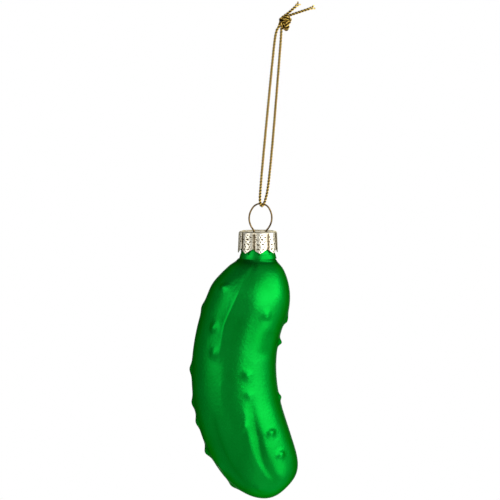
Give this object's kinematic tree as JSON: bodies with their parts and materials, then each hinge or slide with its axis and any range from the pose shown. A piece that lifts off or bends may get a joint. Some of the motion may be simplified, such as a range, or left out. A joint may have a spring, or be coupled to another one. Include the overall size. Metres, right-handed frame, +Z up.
{
  "type": "pickle ornament",
  "caption": "Hollow blown-glass pickle with a stamped crown cap, a spring wire that clips in its neck and a knotted gold cord loop, for hanging on a branch.",
  "frame": {"origin": "top of the cord loop, just under the knot, where the loop goes over a branch or hook", "axes": "+Z up the plumb line, +X to the right as the picture shows the pickle, -Y to the front"},
  "size_m": [0.0416, 0.0315, 0.1803],
  "materials": {
    "green_glass": "clear glass, silvered inside and sprayed with a satin metallic green lacquer outside",
    "cap_metal": "thin stamped tinplate with a pale champagne plating, embossed",
    "wire_metal": "drawn spring wire, dull brass",
    "gold_cord": "twisted metallic gold cord"
  },
  "bodies": {
    "cord": {"cord_loop": "gold_cord", "cord_knot": "gold_cord", "cord_tail_long": "gold_cord", "cord_tail_short": "gold_cord"},
    "hanger": {"hanger_wire": "wire_metal"},
    "cap": {"cap": "cap_metal"},
    "glass": {"glass_body": "green_glass"}
  },
  "joints": [
    {"name": "ring_swing", "type": "hinge", "parent": "cord", "child": "hanger", "pos_m": [0, 0, -0.0663], "axis": [0, 1, 0], "range_deg": [-60, 60]},
    {"name": "cap_rock", "type": "hinge", "parent": "hanger", "child": "cap", "pos_m": [0.00035, 0, -0.07284], "axis": [0.9945, 0, 0.1045], "range_deg": [-8, 8]},
    {"name": "cap_pull", "type": "slide", "parent": "cap", "child": "glass", "axis": [0.1045, 0, -0.9945], "range_m": [0, 0.016]}
  ]
}
